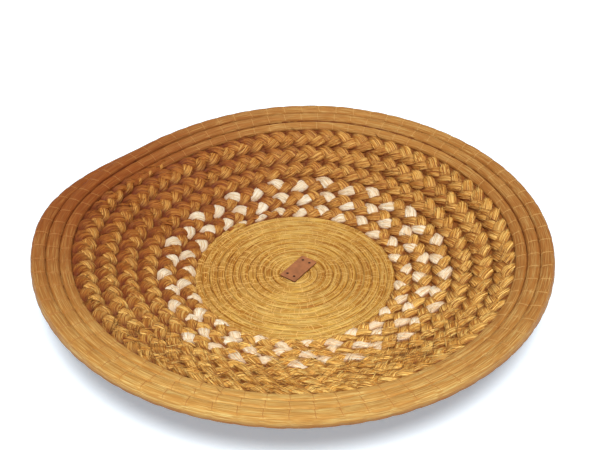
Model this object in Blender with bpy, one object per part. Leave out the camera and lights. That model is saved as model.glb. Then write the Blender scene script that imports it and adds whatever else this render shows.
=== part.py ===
"""Golden grass basket: a shallow round bowl wound as one continuous spiral.

The winding starts at the middle as a thin sewn coil that makes the flat base. At the
edge of the base it turns into a three-strand plait that climbs outwards as the wall,
with a cream strand in its first turns, and at the top it turns into a thicker sewn coil
that makes the rim. Seen from above, the radius grows clockwise. A small leather tag is
stitched to the middle of the base. Metres, +Z up, origin at the centre of the underside.
"""

import math

import bmesh
import bpy
from mathutils import Vector

# Winding: every coil and plait has this many points in one turn
POINTS_PER_TURN = 24
START_ANGLE = math.radians(135)
SEAM_GAP = 0.0006
END_GAP = 0.0004

# Base coil
CENTRE_CORD_DIAMETER = 0.0059
CENTRE_EYE_RADIUS = 0.0038
CENTRE_TURNS = 12.25
FLAT_DEPTH_SHARE = 0.1

# Plaited wall, measured along its slope
PLAIT_TURNS = 6
CREAM_TURNS = 2.75
PLAIT_FIRST_WIDTH = 0.0147
PLAIT_LAST_WIDTH = 0.0182
PLAIT_THICKNESS_SHARE = 0.5
PLAIT_START_TURNS = 1 / 6
PLAIT_END_TURNS = 1 / 8
FLOOR_CLEARANCE = 0.0006
SETTLING_STEPS = 6

# Rim coil
RIM_TURNS = 3
RIM_FIRST_DIAMETER = 0.0083
RIM_LAST_DIAMETER = 0.0108
RIM_END_TURNS = 1 / 8
RIM_END_SHARE = 0.4

# Slope of the wall and of the rim, from the floor
WALL_SLOPE_AT_BASE = math.radians(14)
WALL_SLOPE_AT_RIM = math.radians(27)
RIM_SLOPE = math.radians(9)
SLOPE_STEPS = 80

# Leather tag and its two stitches
TAG_LENGTH = 0.032
TAG_WIDTH = 0.0155
TAG_THICKNESS = 0.0016
TAG_CORNER_RADIUS = 0.0012
TAG_EDGE_BEVEL = 0.0003
TAG_ANGLE = math.radians(54.3)
TAG_PLACE_X = 0.0017
TAG_PLACE_Y = 0.0043
TAG_CORNER_SEGMENTS = 4
TAG_HOLE_DIAMETER = 0.0019
TAG_HOLE_INSET = 0.0050
TAG_HOLE_SPACING = 0.0068
TAG_HOLE_SIDES = 16
THREAD_DIAMETER = 0.0009
THREAD_BEND_RADIUS = 0.0008
THREAD_BEND_SEGMENTS = 4
SEAT_GAP = 0.0003
CUTTER_OVERRUN = 0.001

# Shading and printed sizes
SHARP_ANGLE = math.radians(65)
MILLIMETRE = 0.001

# Section outlines, across and up, as shares of the half width and half height
HEXAGON_SHARES = [
    (0, 1), (-math.cos(math.radians(30)), 0.5), (-math.cos(math.radians(30)), -0.5),
    (0, -1), (math.cos(math.radians(30)), -0.5), (math.cos(math.radians(30)), 0.5),
]
PLAIT_OUTLINE_SHARES = [
    (0, 0.5), (-0.55, 1), (-1, 0), (-0.55, -1), (0, -0.5), (0.55, -1), (1, 0), (0.55, 1),
]

# Sizes worked out from the ones above
CENTRE_CELL = CENTRE_CORD_DIAMETER + SEAM_GAP
BASE_RADIUS = CENTRE_EYE_RADIUS + CENTRE_CELL * (CENTRE_TURNS + 0.5)
FLAT_DEPTH = FLAT_DEPTH_SHARE * CENTRE_CORD_DIAMETER
BASE_TOP = CENTRE_CORD_DIAMETER - FLAT_DEPTH
WALL_LENGTH = PLAIT_TURNS * ((PLAIT_FIRST_WIDTH + PLAIT_LAST_WIDTH) / 2 + SEAM_GAP)


def clear_scene():
    """Remove whatever the scene holds."""
    for item in list(bpy.data.objects):
        bpy.data.objects.remove(item, do_unlink=True)


def smooth_share(value):
    """Ease from 0 to 1 with a flat start and end."""
    value = min(max(value, 0), 1)
    return value * value * (3 - 2 * value)


def blend(low, high, share):
    return low + (high - low) * share


def plait_opening(turn):
    """How far the plait has opened out of the base coil, from 0 to 1."""
    return smooth_share(turn / PLAIT_START_TURNS)


def plait_closing(turn):
    """How far the plait has closed into the rim coil, from 0 to 1."""
    return smooth_share((turn - PLAIT_TURNS + PLAIT_END_TURNS) / PLAIT_END_TURNS)


def plait_width(turn):
    """Width of the plait after so many turns, tapered into the coils at both ends."""
    full = blend(PLAIT_FIRST_WIDTH, PLAIT_LAST_WIDTH, turn / PLAIT_TURNS)
    opened = blend(CENTRE_CORD_DIAMETER, full, plait_opening(turn))
    return blend(opened, RIM_FIRST_DIAMETER, plait_closing(turn))


def height_share(turn):
    """Height of the winding as a share of its width: round coils, a flatter plait."""
    flatness = plait_opening(turn) * (1 - plait_closing(turn))
    return blend(1, PLAIT_THICKNESS_SHARE, flatness)


def rim_diameter(turn):
    """Diameter of the rim coil after so many of its turns, thin at its very end."""
    full = blend(RIM_FIRST_DIAMETER, RIM_LAST_DIAMETER, turn / RIM_TURNS)
    ending = smooth_share((turn - RIM_TURNS + RIM_END_TURNS) / RIM_END_TURNS)
    return full * blend(1, RIM_END_SHARE, ending)


def winding_width(turn):
    """Width of the winding, counted in turns from the start of the plait."""
    if turn <= PLAIT_TURNS:
        return plait_width(turn)
    return rim_diameter(turn - PLAIT_TURNS)


def slope_at(distance):
    """Slope of the underside at a distance from the base, up the wall."""
    if distance <= 0:
        return 0
    wall = blend(WALL_SLOPE_AT_BASE, WALL_SLOPE_AT_RIM, min(distance / WALL_LENGTH, 1))
    return blend(wall, RIM_SLOPE, smooth_share((distance - WALL_LENGTH) / RIM_FIRST_DIAMETER))


def underside(distance):
    """Radius, height and slope of the bowl's underside at a distance up the wall."""
    if distance <= 0:
        return BASE_RADIUS + distance, 0, 0
    radius = BASE_RADIUS
    height = 0
    step = distance / SLOPE_STEPS
    for index in range(SLOPE_STEPS):
        slope = slope_at(step * (index + 0.5))
        radius += step * math.cos(slope)
        height += step * math.sin(slope)
    return radius, height, slope_at(distance)


def station(turn, distance, half_width, half_height, lift):
    """One cross-section, whose underside lies at a distance from the base up the wall."""
    radius, height, slope = underside(distance)
    angle = START_ANGLE - math.tau * turn
    outward = Vector((math.cos(angle), math.sin(angle), 0))
    across = outward * math.cos(slope) + Vector((0, 0, 1)) * math.sin(slope)
    up = Vector((0, 0, 1)) * math.cos(slope) - outward * math.sin(slope)
    centre = outward * radius + Vector((0, 0, height + lift)) + up * half_height
    return {"distance": distance, "centre": centre, "across": across, "up": up,
            "half_width": half_width, "half_height": half_height}


def base_stations():
    """Cross-sections of the base coil, from the eye to the start of the plait."""
    stations = []
    for index in range(round(CENTRE_TURNS * POINTS_PER_TURN) + 1):
        turn = index / POINTS_PER_TURN - CENTRE_TURNS
        half = CENTRE_CORD_DIAMETER / 2
        stations.append(station(turn, CENTRE_CELL * (turn - 0.5), half, half, -FLAT_DEPTH))
    return stations


def lay_against(below, turn):
    """A cross-section laid up the wall against the row one turn earlier."""
    half_width = winding_width(turn) / 2
    half_height = half_width * height_share(turn)
    wanted = below["half_width"] + half_width + SEAM_GAP
    distance = below["distance"] + wanted
    for settling in range(SETTLING_STEPS):
        place = station(turn, distance, half_width, half_height, FLOOR_CLEARANCE)
        distance += wanted - (place["centre"] - below["centre"]).length
    return place


def wound_stations():
    """Cross-sections of the wall and the rim, from the end of the base coil."""
    winding = base_stations()[-POINTS_PER_TURN - 1:-1]
    for index in range((PLAIT_TURNS + RIM_TURNS) * POINTS_PER_TURN + 1):
        winding.append(lay_against(winding[index], index / POINTS_PER_TURN))
    return winding[POINTS_PER_TURN:]


def stretch_of(stations, first_turn, last_turn):
    """The cross-sections between two turns, copied so that each piece has its own."""
    first = round(first_turn * POINTS_PER_TURN)
    last = round(last_turn * POINTS_PER_TURN)
    return [dict(place) for place in stations[first:last + 1]]


def shorten_start(stations, length):
    """Draw the first cross-section back from the piece that it meets."""
    ahead = (stations[1]["centre"] - stations[0]["centre"]).normalized()
    stations[0]["centre"] = stations[0]["centre"] + ahead * length


def least_gap(stations):
    """Least gap between a tube and its own neighbouring turns, from its points."""
    least = math.inf
    half_turn = POINTS_PER_TURN // 2
    for first, near in enumerate(stations):
        for far in stations[first + half_turn:]:
            apart = (far["centre"] - near["centre"]).length
            least = min(least, apart - near["half_width"] - far["half_width"])
    return least


def new_material(name, colour, roughness):
    """A plain finish with one colour and roughness."""
    material = bpy.data.materials.new(name)
    material.use_nodes = True
    shader = material.node_tree.nodes["Principled BSDF"]
    shader.inputs["Base Color"].default_value = (*colour, 1)
    shader.inputs["Roughness"].default_value = roughness
    shader.inputs["Metallic"].default_value = 0
    return material


def add_mesh(name, shape, material):
    """Turn a bmesh into a named object with smooth sides and sharp ends."""
    bmesh.ops.recalc_face_normals(shape, faces=shape.faces)
    mesh = bpy.data.meshes.new(name)
    shape.to_mesh(mesh)
    shape.free()
    mesh.shade_smooth()
    mesh.set_sharp_from_angle(angle=SHARP_ANGLE)
    item = bpy.data.objects.new(name, mesh)
    bpy.context.collection.objects.link(item)
    if material:
        mesh.materials.append(material)
    return item


def add_tube(name, stations, outline_shares, material):
    """Join the cross-sections into one unbroken tube with closed ends."""
    shape = bmesh.new()
    rings = []
    for place in stations:
        ring = []
        for across, up in outline_shares:
            offset = place["across"] * across * place["half_width"]
            offset = offset + place["up"] * up * place["half_height"]
            ring.append(shape.verts.new(place["centre"] + offset))
        rings.append(ring)
    for ring, following in zip(rings, rings[1:]):
        for index in range(len(ring)):
            beside = (index + 1) % len(ring)
            shape.faces.new((ring[index], ring[beside], following[beside], following[index]))
    shape.faces.new(rings[0])
    shape.faces.new(rings[-1])
    return add_mesh(name, shape, material)


def flat_bottomed(outline_shares, depth_share):
    """Cut the lowest corner of an outline flat, at a depth given as a share of its height."""
    level = 2 * depth_share - 1
    cut = []
    count = len(outline_shares)
    for index, (across, up) in enumerate(outline_shares):
        if up > level:
            cut.append((across, up))
            continue
        for beside in (index - 1, (index + 1) % count):
            other_across, other_up = outline_shares[beside]
            share = (level - up) / (other_up - up)
            cut.append((blend(across, other_across, share), level))
    return cut


def make_base_coil(material):
    """The sewn grass coil of the flat base, its underside cut flat where it stands."""
    stations = base_stations()
    outline = flat_bottomed(HEXAGON_SHARES, FLAT_DEPTH_SHARE)
    print("base_coil least gap to itself, mm:", round(least_gap(stations) / MILLIMETRE, 3))
    return add_tube("base_coil", stations, outline, material)


def make_plait(name, stations, material):
    """One stretch of the plaited wall, with a column of strands on each side."""
    shorten_start(stations, END_GAP)
    print(name, "least gap to itself, mm:", round(least_gap(stations) / MILLIMETRE, 3))
    return add_tube(name, stations, PLAIT_OUTLINE_SHARES, material)


def make_rim_coil(stations, material):
    """The thicker sewn coil of the rim, from the end of the plait to its thin tail."""
    shorten_start(stations, END_GAP)
    print("rim_coil least gap to itself, mm:", round(least_gap(stations) / MILLIMETRE, 3))
    return add_tube("rim_coil", stations, HEXAGON_SHARES, material)


def place_on_tag(item, height):
    """Turn and place a piece that is modelled about the middle of the tag."""
    item.location = (TAG_PLACE_X, TAG_PLACE_Y, height)
    item.rotation_euler = (0, 0, TAG_ANGLE)


def tag_outline():
    """Corners of the tag with their rounding, anticlockwise."""
    points = []
    middle_x = TAG_LENGTH / 2 - TAG_CORNER_RADIUS
    middle_y = TAG_WIDTH / 2 - TAG_CORNER_RADIUS
    for quarter, (side_x, side_y) in enumerate([(1, 1), (-1, 1), (-1, -1), (1, -1)]):
        for index in range(TAG_CORNER_SEGMENTS + 1):
            angle = math.pi / 2 * (quarter + index / TAG_CORNER_SEGMENTS)
            points.append((side_x * middle_x + TAG_CORNER_RADIUS * math.cos(angle),
                           side_y * middle_y + TAG_CORNER_RADIUS * math.sin(angle), 0))
    return points


def hole_places():
    """Middles of the four stitch holes, two at each end of the tag."""
    along = TAG_LENGTH / 2 - TAG_HOLE_INSET
    aside = TAG_HOLE_SPACING / 2
    return [(end * along, side * aside) for end in (-1, 1) for side in (-1, 1)]


def make_hole_cutter():
    """Four upright pins that cut the stitch holes, left out of the model."""
    shape = bmesh.new()
    depth = TAG_THICKNESS + 2 * CUTTER_OVERRUN
    for across, along in hole_places():
        made = bmesh.ops.create_cone(
            shape, cap_ends=True, segments=TAG_HOLE_SIDES,
            radius1=TAG_HOLE_DIAMETER / 2, radius2=TAG_HOLE_DIAMETER / 2, depth=depth)
        bmesh.ops.translate(shape, verts=made["verts"], vec=(across, along, TAG_THICKNESS / 2))
    cutter = add_mesh("tag_hole_cutter", shape, None)
    cutter.hide_render = True
    cutter.display_type = "WIRE"
    return cutter


def make_leather_tag(material):
    """The leather tag, a thin plate with rounded corners and four stitch holes."""
    shape = bmesh.new()
    bottom = shape.faces.new([shape.verts.new(point) for point in tag_outline()])
    raised = bmesh.ops.extrude_face_region(shape, geom=[bottom])
    top = [part for part in raised["geom"] if isinstance(part, bmesh.types.BMVert)]
    bmesh.ops.translate(shape, verts=top, vec=(0, 0, TAG_THICKNESS))
    rim_edges = [edge for edge in shape.edges
                 if all(vert.co.z > TAG_THICKNESS / 2 for vert in edge.verts)]
    bmesh.ops.bevel(shape, geom=rim_edges, offset=TAG_EDGE_BEVEL, segments=1, affect="EDGES")
    tag = add_mesh("leather_tag", shape, material)
    place_on_tag(tag, BASE_TOP + SEAT_GAP)
    cutter = make_hole_cutter()
    cutter.parent = tag
    holes = tag.modifiers.new("stitch holes", "BOOLEAN")
    holes.operation = "DIFFERENCE"
    holes.solver = "EXACT"
    holes.object = cutter
    return tag


def stitch_route():
    """Points of a stitch: up through one hole, across the tag and down the other."""
    aside = TAG_HOLE_SPACING / 2
    top = TAG_THICKNESS + SEAT_GAP + THREAD_DIAMETER / 2
    points = [(0, -aside, 0)]
    for side in (-1, 1):
        for index in range(THREAD_BEND_SEGMENTS + 1):
            share = index / THREAD_BEND_SEGMENTS
            turned = math.pi / 2 * (share if side < 0 else 1 - share)
            points.append((0, side * (aside - THREAD_BEND_RADIUS * (1 - math.cos(turned))),
                           top - THREAD_BEND_RADIUS * (1 - math.sin(turned))))
    points.append((0, aside, 0))
    return points


def make_stitch(name, end, material):
    """One stitch of thick thread through the pair of holes at one end of the tag."""
    curve = bpy.data.curves.new(name, "CURVE")
    curve.dimensions = "3D"
    curve.bevel_depth = THREAD_DIAMETER / 2
    curve.bevel_resolution = 2
    curve.use_fill_caps = True
    points = stitch_route()
    spline = curve.splines.new("POLY")
    spline.points.add(len(points) - 1)
    for target, (across, along, up) in zip(spline.points, points):
        target.co = (across + end * (TAG_LENGTH / 2 - TAG_HOLE_INSET), along, up, 1)
    curve.materials.append(material)
    item = bpy.data.objects.new(name, curve)
    bpy.context.collection.objects.link(item)
    place_on_tag(item, BASE_TOP + SEAT_GAP)
    return item


def centre_on_origin(items, outermost):
    """Move everything so that the middle of the outermost piece's box is at the origin."""
    bpy.context.view_layer.update()
    places = [outermost.matrix_world @ vertex.co for vertex in outermost.data.vertices]
    middle = [(min(place[axis] for place in places) + max(place[axis] for place in places)) / 2
              for axis in (0, 1)]
    for item in items:
        item.location.x -= middle[0]
        item.location.y -= middle[1]
    print("middle of the rim from the middle of the base, mm:",
          round(middle[0] / MILLIMETRE, 3), round(middle[1] / MILLIMETRE, 3))


def main():
    clear_scene()
    base_grass = new_material("base grass", (0.56, 0.34, 0.09), 0.45)
    cream_plait = new_material("plait with cream strand", (0.62, 0.42, 0.20), 0.5)
    golden_plait = new_material("golden plait", (0.50, 0.27, 0.07), 0.45)
    rim_grass = new_material("rim grass", (0.53, 0.30, 0.08), 0.42)
    leather = new_material("tag leather", (0.32, 0.13, 0.07), 0.6)
    thread = new_material("tag thread", (0.13, 0.06, 0.03), 0.7)
    winding = wound_stations()
    cream_stretch = stretch_of(winding, 0, CREAM_TURNS)
    golden_stretch = stretch_of(winding, CREAM_TURNS, PLAIT_TURNS)
    rim = make_rim_coil(stretch_of(winding, PLAIT_TURNS, PLAIT_TURNS + RIM_TURNS), rim_grass)
    items = [
        make_base_coil(base_grass),
        make_plait("plait_cream", cream_stretch, cream_plait),
        make_plait("plait_golden", golden_stretch, golden_plait),
        rim,
        make_leather_tag(leather),
        make_stitch("tag_stitch_near", -1, thread),
        make_stitch("tag_stitch_far", 1, thread),
    ]
    centre_on_origin(items, rim)


main()
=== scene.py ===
"""Golden grass basket: a shallow bowl wound as one continuous spiral.

A thin sewn coil makes the flat base. At its edge it opens into a three-strand plait
that climbs outwards as the wall, with a cream strand in its first turns, and at the
top the plait closes into a thicker sewn coil, the rim. Every piece follows the same
winding rule as the solids of the frame, at a finer pitch.
"""

import math

import bmesh
import bpy
import numpy as np
from mathutils import Matrix, Vector


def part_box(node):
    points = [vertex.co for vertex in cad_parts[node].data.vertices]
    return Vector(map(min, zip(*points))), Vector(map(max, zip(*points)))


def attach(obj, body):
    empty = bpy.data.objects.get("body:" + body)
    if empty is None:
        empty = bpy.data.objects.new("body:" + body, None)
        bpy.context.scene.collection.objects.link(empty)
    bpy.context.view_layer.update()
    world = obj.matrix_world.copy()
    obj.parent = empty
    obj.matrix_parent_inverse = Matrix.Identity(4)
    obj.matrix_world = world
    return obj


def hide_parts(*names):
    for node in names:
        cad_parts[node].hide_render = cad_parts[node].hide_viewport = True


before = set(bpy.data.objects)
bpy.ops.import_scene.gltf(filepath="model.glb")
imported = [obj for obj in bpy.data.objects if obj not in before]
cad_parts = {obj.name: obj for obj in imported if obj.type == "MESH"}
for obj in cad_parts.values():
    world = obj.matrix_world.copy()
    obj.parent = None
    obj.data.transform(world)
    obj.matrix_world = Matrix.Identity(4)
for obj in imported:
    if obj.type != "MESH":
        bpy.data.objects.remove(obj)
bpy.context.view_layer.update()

bl_info = {
    "name": "Golden Grass Basket",
    "version": (1, 0, 0),
    "blender": (4, 5, 0),
    "location": "3D Viewport > Sidebar > Basket",
    "description": "Weaves a coiled and plaited grass basket",
    "category": "Add Mesh",
}

# The winding of the solids: turns are counted from the start of the plait
START_ANGLE = math.radians(135)
SEAM_GAP = 0.0006
BASE_CORD = 0.0059
BASE_EYE_RADIUS = 0.0038
BASE_TURNS = 12.25
BASE_FLAT_SHARE = 0.1
PLAIT_TURNS = 6
CREAM_TURNS = 2.75
PLAIT_FIRST_WIDTH = 0.0147
PLAIT_LAST_WIDTH = 0.0182
PLAIT_FLATNESS = 0.5
PLAIT_START_TURNS = 1 / 6
PLAIT_END_TURNS = 1 / 8
FLOOR_CLEARANCE = 0.0006
REST_HEIGHT = 0.0001
RIM_TURNS = 3
RIM_FIRST_DIAMETER = 0.0083
RIM_LAST_DIAMETER = 0.0108
RIM_END_TURNS = 1 / 8
RIM_END_SHARE = 0.4
WALL_SLOPE_AT_BASE = math.radians(14)
WALL_SLOPE_AT_RIM = math.radians(27)
RIM_SLOPE = math.radians(9)
SETTLING_STEPS = 6
RULE_POINTS_PER_TURN = 96
SLOPE_TABLE_REACH = 0.2
SLOPE_TABLE_STEPS = 4000

# The leather tag, measured from the middle of the base
TAG_LENGTH = 0.032
TAG_WIDTH = 0.0155
TAG_CORNER_RADIUS = 0.0012
TAG_CORNER_STEPS = 4
TAG_EDGE_SHARE = 0.3
TAG_ANGLE = math.radians(54.3)
TAG_PLACE = Vector((0.0017, 0.0043, 0))
TAG_HOLE_INSET = 0.0050
TAG_HOLE_SPACING = 0.0068
TAG_HOLE_DIAMETER = 0.0019
HOLE_PLACE = (TAG_LENGTH / 2 - TAG_HOLE_INSET, TAG_HOLE_SPACING / 2, 0)
PIN_LENGTH = 0.02
PORES_PER_METRE = 2600
CLOUDS_PER_METRE = 220
PORE_RELIEF = 0.0002
PALE_CLOUDS = (0.3, 0.7)
LEATHER_ROUGHNESS = (0.5, 0.2)
# Painted shade around the sewing holes, and a dark edge that is partly burnt leather and partly a
# painted shadow
HOLE_SHADE = (0.75 * TAG_HOLE_DIAMETER, 0.5 * TAG_HOLE_DIAMETER)
EDGE_BURN_AND_SHADOW_HEIGHTS = (0.95, 0.65)
EDGE_BURN_AND_SHADOW = 0.75

CENTRE_CELL = BASE_CORD + SEAM_GAP
BASE_RADIUS = BASE_EYE_RADIUS + CENTRE_CELL * (BASE_TURNS + 0.5)
WALL_LENGTH = PLAIT_TURNS * ((PLAIT_FIRST_WIDTH + PLAIT_LAST_WIDTH) / 2 + SEAM_GAP)
TAG_LOW, TAG_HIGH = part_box("leather_tag")
BASE_CENTRE = (TAG_LOW + TAG_HIGH) / 2 * Vector((1, 1, 0)) - TAG_PLACE

# How the bundles are swept: sections along them, overlaps in turns, and how full they are
BASE_SECTIONS_PER_TURN = 132
BASE_OVERLAP = 0.03
BASE_TAIL = 0.05
BASE_TAIL_SHARE = 0.5
RIM_SECTIONS_PER_STITCH = 9
RIM_OVERLAP = 0.04
RIM_BREADTH = 1.1
RIM_GIRTH = 1.01
STITCH_PULL = 0.05
STITCH_SHARPNESS = 10
RIM_STITCH_REACH = (1.02, 0.965)
STITCH_STRAY = 0.45
FILLING_SECTIONS_PER_TURN = 200
FILLING_FIRST_TURN = 0.02
FILLING_BREADTHS = (1.1, 1.18)
FILLING_HEIGHTS = (0.45, 0.8)
FILLING_RISE_TURNS = (-0.1, 0.2)

# Unevenness of the grass: pitches are per metre of the winding, and the strides keep
# one bundle's pattern clear of the next
SWELL_PITCH = 90
SWELL_STRIDE = 17
FIBRE_STRIDE = 3
FLATS_FROM = -0.6
STRANDS = 3
HURRY_PITCH = 14
STRAY_PITCH = 55
STRAY_STRIDE = 9
STRAY_REACH = 0.3
FATNESS_PITCH = 70
FATNESS_STRIDE = 7
KNOT_LIFT = 5
FULLEST_AT = 0.7
STRAIGHTER_ON_RIGHT = 1.6
STRAND_SQUARENESS = 0.05
LEAST_SHARE = 0.001

# Single blades of grass: frayed most at the near side, and a little on the right
NEAR_FRAYING = 3.4
NEAR_FRAYING_DEPTH = 0.06
RIGHT_FRAYING = 1.1
RIGHT_FRAYING_LIMITS = (0.05, 0.15)
FRAYED_REACH = 0.3
BLADE_LENGTHS = (0.6, 1.25)
BLADE_TWIST = 0.3
BLADE_TAPER = 0.93
BLADE_WIDTHS = (0.7, 1.3)
BLADE_FLATNESS = 0.6
BLADE_LEAN = 0.3
BLADE_STRIDE = 0.0037

# Painted light and shade of the grass around the basket, standing in for how the lamp and
# the sheen of the grass fall on it: its level, and the gains at both ends in depth (a
# painted sheen), to the right, to the near side, at the near right and on the plait's outer
# lumps (painted shade on the knots on the left). Each pair of tints is for the most shaded
# and for the most lit grass.
PLAIT_PAINTED_LIGHT = (0.33, 0.22, 0.18, 0.32, -0.13, 0.24)
CREAM_PAINTED_LIGHT = (0.55, 0.04, 0.06, 0.10, 0, 0.02)
BASE_PAINTED_LIGHT = (0.16, 0.2, 0.025, 0.045, 0, 0)
RIM_PAINTED_LIGHT = (0.225, 0.42, 0.085, 0.24, -0.20, 0)
GRASS_LIGHT_AND_SHADE_TINTS = ((0.60, 0.40, 0.27), (1.45, 1.74, 2.05))
CREAM_LIGHT_AND_SHADE_TINTS = ((0.48, 0.57, 0.75), (1.58, 1.57, 1.53))
RIM_LIGHT_AND_SHADE_TINTS = ((0.52, 0.285, 0.175), (1.42, 1.93, 2.72))
# Tint of the painted shade: on flanks, on the outer knots and where strands dive under
PAINTED_SHADE_TINT = (0.58, 0.36, 0.30)
WORN_SHARE = 0.7
OUTER_FROM = 0.3

# Streaks of dry grass: pitches are per metre along a bundle
FIBRES_PER_METRE = 1 / 0.0007
STREAK_PITCH = 40
HAIR_PITCH = 70
HAIRS_PER_STREAK = 2.4
PATCH_PITCHES = (45, 60, 60)
DARK_STREAKS = (0, 0.45)
BRIGHT_STREAKS = (0.5, 1)
DARK_PATCHES = (0.42, 0.7)
PATCH_DEPTH = 0.45
STREAK_SHARE = 0.7
HAIR_RELIEF = 0.6
GRASS_RELIEF = 0.0009
GRASS_ROUGHNESS = 0.5
STREAK_ROUGHNESS = 0.14
GRASS_SHINE = 0.3

# Where painted shade darkens the grass: on its flanks, on the near rim's underside, on the
# plait's outer knots on the left and where a strand dives under. From the first reading,
# not at all, to the second, fully. The readings are how far a point faces up, how far
# around the basket it lies and how high its strand stands over the others.
FLANK_SHADE_TO = 0.05
NEAR_UNDERSIDE_SHADE_TO = -0.45
NEAR_SIDE = (-0.35, -0.8)
KNOTS_ON_LEFT = (-0.2, -0.9)
TUCKED = (0.6, -0.45)
TUCK_SLANT = 0.14

# Sewing thread: where around the basket painted shade darkens it, on the left and at the near
# side
WEAR_PER_METRE = 400
THREAD_ROUGHNESS = (0.55, 0.2)
THREAD_SHADE_LEFT = (-0.1, -0.7)
THREAD_SHADE_NEAR = (-0.55, -0.85)

# The studio
FLOOR_ROUGHNESS = 0.9
SENSOR_WIDTH = 36
LAMP_DISTANCE = 2
NEAREST_SEEN = 0.01


def eased(share):
    """Ease from 0 to 1 with a flat start and end."""
    share = np.clip(share, 0, 1)
    return share * share * (3 - 2 * share)


def blend(low, high, share):
    """A value between two others."""
    return low + (high - low) * share


def plait_opened(turns):
    """How far the base coil has opened into the plait."""
    return eased(turns / PLAIT_START_TURNS)


def plait_closed(turns):
    """How far the plait has closed into the rim coil."""
    return eased((turns - PLAIT_TURNS + PLAIT_END_TURNS) / PLAIT_END_TURNS)


def winding_width(turns):
    """Width of the base coil, the plait or the rim coil."""
    turns = np.asarray(turns, float)
    full = blend(PLAIT_FIRST_WIDTH, PLAIT_LAST_WIDTH, turns / PLAIT_TURNS)
    opened = blend(BASE_CORD, full, plait_opened(turns))
    plait = blend(opened, RIM_FIRST_DIAMETER, plait_closed(turns))
    past = turns - PLAIT_TURNS
    ending = eased((past - RIM_TURNS + RIM_END_TURNS) / RIM_END_TURNS)
    rim = blend(RIM_FIRST_DIAMETER, RIM_LAST_DIAMETER, past / RIM_TURNS)
    rim = rim * blend(1, RIM_END_SHARE, ending)
    return np.where(turns <= PLAIT_TURNS, plait, rim)


def winding_height(turns):
    """Height of the winding: the coils are round and the plait is flatter."""
    flatness = plait_opened(turns) * (1 - plait_closed(turns))
    return winding_width(turns) * blend(1, PLAIT_FLATNESS, flatness)


def slope_at(distances):
    """Slope of the underside at distances from the base, up the wall."""
    share = np.clip(distances / WALL_LENGTH, 0, 1)
    wall = blend(WALL_SLOPE_AT_BASE, WALL_SLOPE_AT_RIM, share)
    past = eased((distances - WALL_LENGTH) / RIM_FIRST_DIAMETER)
    return np.where(distances <= 0, 0, blend(wall, RIM_SLOPE, past))


REACH = np.linspace(0, SLOPE_TABLE_REACH, SLOPE_TABLE_STEPS + 1)
REACH_SLOPES = slope_at((REACH[1:] + REACH[:-1]) / 2)
REACH_STEP = REACH[1] - REACH[0]
REACH_RADII = BASE_RADIUS + np.append(0, np.cumsum(np.cos(REACH_SLOPES) * REACH_STEP))
REACH_HEIGHTS = np.append(0, np.cumsum(np.sin(REACH_SLOPES) * REACH_STEP))


def placed(turns, distances):
    """Middle, across and up directions of the winding at distances up the wall."""
    turns = np.asarray(turns, float)
    distances = np.asarray(distances, float)
    slopes = slope_at(distances)[..., None]
    radii = np.where(distances <= 0, BASE_RADIUS + distances,
                     np.interp(distances, REACH, REACH_RADII))
    heights = np.interp(distances, REACH, REACH_HEIGHTS)
    lifts = np.where(turns < 0, -BASE_FLAT_SHARE * BASE_CORD, FLOOR_CLEARANCE)
    angles = START_ANGLE - math.tau * turns
    outward = np.stack([np.cos(angles), np.sin(angles), 0 * angles], axis=-1)
    upright = np.array([0, 0, 1])
    across = outward * np.cos(slopes) + upright * np.sin(slopes)
    up = upright * np.cos(slopes) - outward * np.sin(slopes)
    middle = outward * radii[..., None] + upright * (heights + lifts)[..., None]
    middle = middle + up * (winding_height(turns) / 2)[..., None]
    return middle + np.array(BASE_CENTRE), across, up


def wound_distances():
    """Turns of the winding and how far up the wall each of them lies."""
    first = round(BASE_TURNS * RULE_POINTS_PER_TURN)
    count = first + (PLAIT_TURNS + RIM_TURNS) * RULE_POINTS_PER_TURN + 1
    turns = (np.arange(count) - first) / RULE_POINTS_PER_TURN
    distances = CENTRE_CELL * (turns - 0.5)
    half_widths = winding_width(turns) / 2
    for index in range(first, count):
        below = index - RULE_POINTS_PER_TURN
        wanted = half_widths[below] + half_widths[index] + SEAM_GAP
        beneath = placed(turns[below], distances[below])[0]
        distance = distances[below] + wanted
        for settling in range(SETTLING_STEPS):
            middle = placed(turns[index], distance)[0]
            distance += wanted - np.linalg.norm(middle - beneath)
        distances[index] = distance
    return turns, distances


RULE_TURNS, RULE_DISTANCES = wound_distances()


def winding(turns):
    """Middle, and the reach across and up, of the winding at some turns."""
    middle, across, up = placed(turns, np.interp(turns, RULE_TURNS, RULE_DISTANCES))
    half_width = (winding_width(turns) / 2)[:, None]
    half_height = (winding_height(turns) / 2)[:, None]
    return middle, across * half_width, up * half_height


def travelled(points):
    """Distance covered along a path up to each of its points."""
    steps = np.linalg.norm(np.diff(points, axis=0), axis=1)
    return np.append(0, np.cumsum(steps))


def guide_mesh(name, points, **readings):
    """A path as a plain line of points, with a number or vector stored at each."""
    count = len(points)
    mesh = bpy.data.meshes.new(name)
    mesh.from_pydata(points.tolist(), [(index, index + 1) for index in range(count - 1)], [])
    for label, values in readings.items():
        values = np.asarray(values, np.float32)
        kind, field = ("FLOAT_VECTOR", "vector") if values.ndim == 2 else ("FLOAT", "value")
        stored = mesh.attributes.new(label, kind, "POINT")
        stored.data.foreach_set(field, values.ravel())
    return mesh


def bundle_guide(name, turns, breadth=1, height=1):
    """A guide for a bundle of grass along the winding, made broader and higher."""
    middle, across, up = winding(turns)
    return guide_mesh(name, middle, across=across * breadth, up=up * height,
                      run=travelled(middle), tuck=np.ones(len(turns)))


def arithmetic(operation, swapped=False):
    """A method that works out a wire and another value with one Math node."""
    def method(wire, other):
        parts = (other, wire) if swapped else (wire, other)
        return wire.bench.maths(operation, *parts)
    return method


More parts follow.
